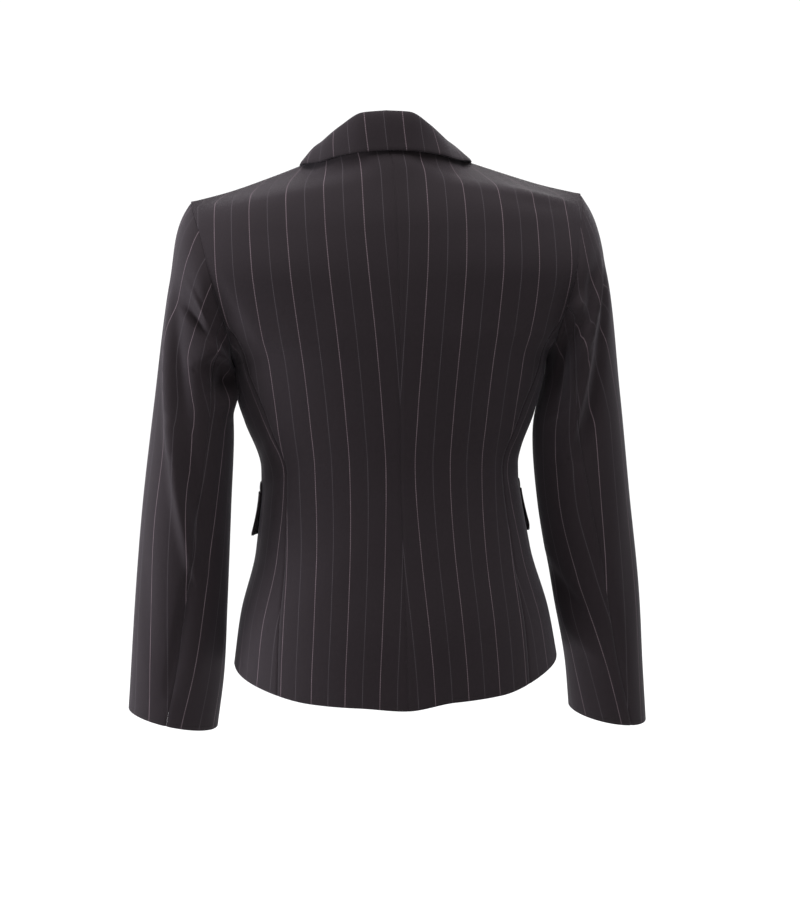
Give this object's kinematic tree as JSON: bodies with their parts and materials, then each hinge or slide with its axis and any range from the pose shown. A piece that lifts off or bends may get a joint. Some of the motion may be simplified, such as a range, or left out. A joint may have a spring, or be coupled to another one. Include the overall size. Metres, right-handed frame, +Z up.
{
  "type": "fitted pinstripe blazer, worn form",
  "caption": "Hollow worn form of a fitted single-breasted pinstripe blazer with shaped panels, notched lapels, rolled collar, two-piece sleeves and pocket flaps.",
  "frame": {"origin": "centre line of the wearer's neck, level with the centre-back neck seam, where the shoulders carry the blazer", "axes": "+Z up, +Y out of the garment's back, +X towards the wearer's left"},
  "size_m": [0.5518, 0.2558, 0.6512],
  "materials": {
    "suiting": "matt worsted suiting with fine dusty pink and grey pinstripes",
    "button": "black, softly polished"
  },
  "bodies": {
    "root": {"back_left": "suiting", "back_right": "suiting", "side_left": "suiting", "side_right": "suiting", "front_left": "suiting", "front_right": "suiting", "lapel_left": "suiting", "lapel_right": "suiting", "collar": "suiting", "sleeve_upper_left": "suiting", "sleeve_upper_right": "suiting", "sleeve_under_left": "suiting", "sleeve_under_right": "suiting", "flap_left": "suiting", "flap_right": "suiting", "button": "button"}
  },
  "joints": []
}
